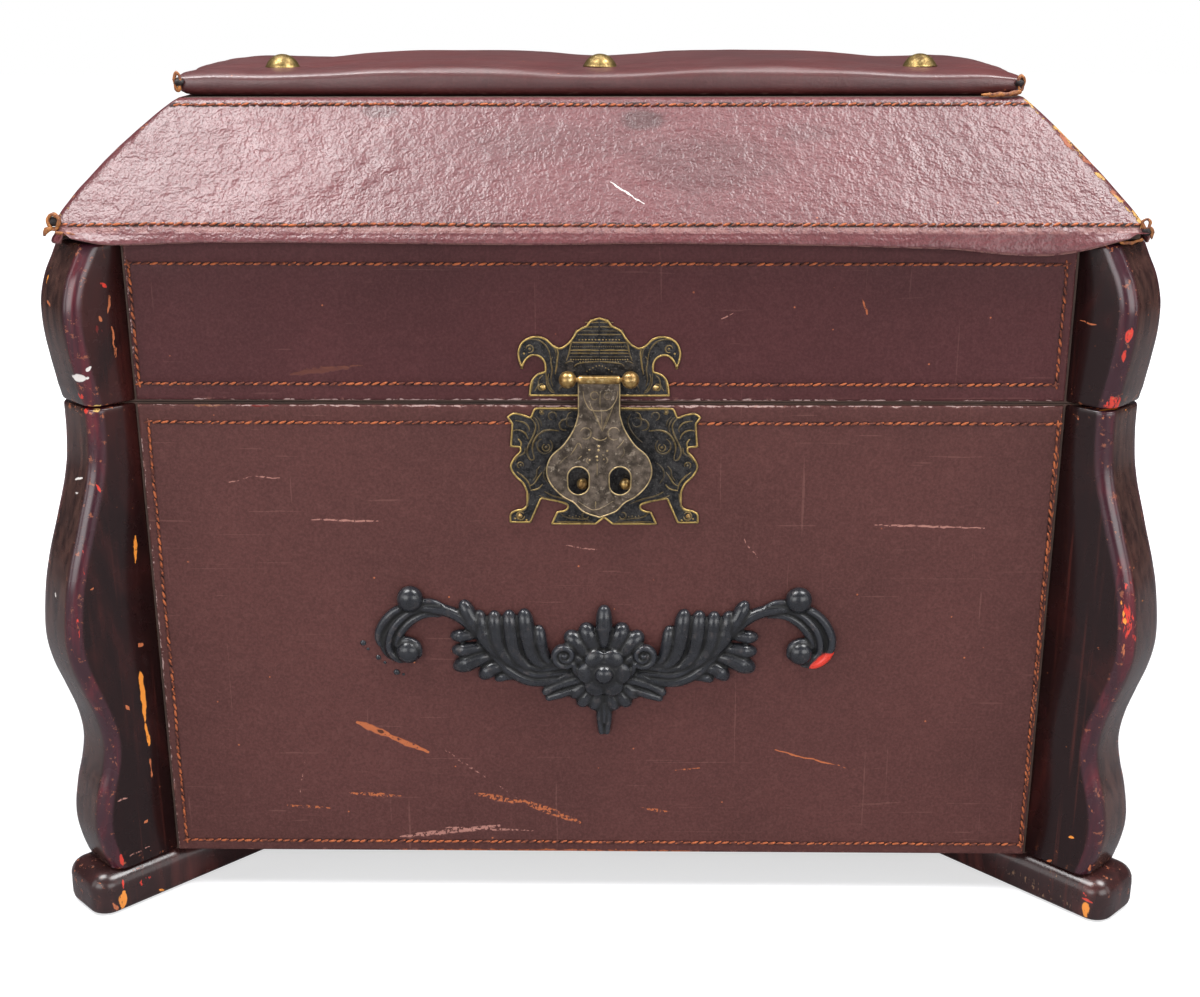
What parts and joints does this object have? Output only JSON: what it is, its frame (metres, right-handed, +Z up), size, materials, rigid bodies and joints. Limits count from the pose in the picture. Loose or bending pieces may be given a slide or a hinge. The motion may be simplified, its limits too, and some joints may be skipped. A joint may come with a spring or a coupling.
{
  "type": "storage trunk",
  "caption": "Leather-clad storage trunk with a hipped, padded lid, serpentine corner posts, plank feet, a swinging hasp and a carved scroll ornament.",
  "frame": {"origin": "on the floor, under the middle of the bounding box", "axes": "+X to the right seen from the front, +Y from front to back, +Z up"},
  "size_m": [0.627, 0.3932, 0.4814],
  "materials": {
    "body_leather": "dark burgundy-brown leather, satin, with orange-brown stitching",
    "slope_leather": "dark burgundy-brown leather, satin, worn on the ridges",
    "cushion_leather": "dark brown padded leather, satin, creased",
    "board_wood": "plain sawn board",
    "lining_cloth": "plain woven lining, matt",
    "post_lacquer": "dark red-brown lacquer, glossy, chipped at the edges",
    "foot_lacquer": "dark red-brown lacquer, glossy, chipped at the corners",
    "nail_brass": "aged brass, satin",
    "ornament_wood": "black lacquered carving, semi-gloss, worn edges",
    "plate_bronze": "dark patina with bright brass edges",
    "hasp_bronze": "brown patina, worn",
    "fitting_brass": "aged brass, polished by use",
    "hinge_brass": "aged brass, satin"
  },
  "bodies": {
    "base": {"base_back_board": "board_wood", "base_back_leather": "body_leather", "base_floor_board": "board_wood", "base_front_board": "board_wood", "base_front_leather": "body_leather", "base_left_board": "board_wood", "base_left_leather": "body_leather", "base_lining": "lining_cloth", "base_right_board": "board_wood", "base_right_leather": "body_leather", "carved_ornament": "ornament_wood", "foot_front_left": "foot_lacquer", "foot_front_right": "foot_lacquer", "foot_rear_left": "foot_lacquer", "foot_rear_right": "foot_lacquer", "hasp_lower_nails": "fitting_brass", "hasp_lower_plate": "plate_bronze", "hasp_staples": "fitting_brass", "hinge_base_screws": "hinge_brass", "hinge_left_base_leaf": "hinge_brass", "hinge_pins": "hinge_brass", "hinge_right_base_leaf": "hinge_brass", "lower_post_front_left": "post_lacquer", "lower_post_front_right": "post_lacquer", "lower_post_rear_left": "post_lacquer", "lower_post_rear_right": "post_lacquer"},
    "lid": {"cushion_nails": "nail_brass", "hasp_rod": "fitting_brass", "hasp_upper_nails": "fitting_brass", "hasp_upper_plate": "plate_bronze", "hinge_left_lid_leaf": "hinge_brass", "hinge_lid_screws": "hinge_brass", "hinge_right_lid_leaf": "hinge_brass", "lid_back_board": "board_wood", "lid_back_leather": "body_leather", "lid_back_slope_board": "board_wood", "lid_cushion": "cushion_leather", "lid_front_board": "board_wood", "lid_front_leather": "body_leather", "lid_front_slope_board": "board_wood", "lid_left_board": "board_wood", "lid_left_leather": "body_leather", "lid_left_slope_board": "board_wood", "lid_lining": "lining_cloth", "lid_right_board": "board_wood", "lid_right_leather": "body_leather", "lid_right_slope_board": "board_wood", "lid_slope_cover": "slope_leather", "lid_top_board": "board_wood", "upper_post_front_left": "post_lacquer", "upper_post_front_right": "post_lacquer", "upper_post_rear_left": "post_lacquer", "upper_post_rear_right": "post_lacquer"},
    "hasp": {"hasp_plate": "hasp_bronze"}
  },
  "joints": [
    {"name": "lid_hinge", "type": "hinge", "parent": "base", "child": "lid", "pos_m": [0, 0.18923, 0.302], "axis": [-1, 0, 0], "range_deg": [0, 100]},
    {"name": "hasp_swing", "type": "hinge", "parent": "lid", "child": "hasp", "pos_m": [0.0004, -0.17507, 0.3177], "axis": [-1, 0, 0], "range_deg": [0, 180]}
  ]
}
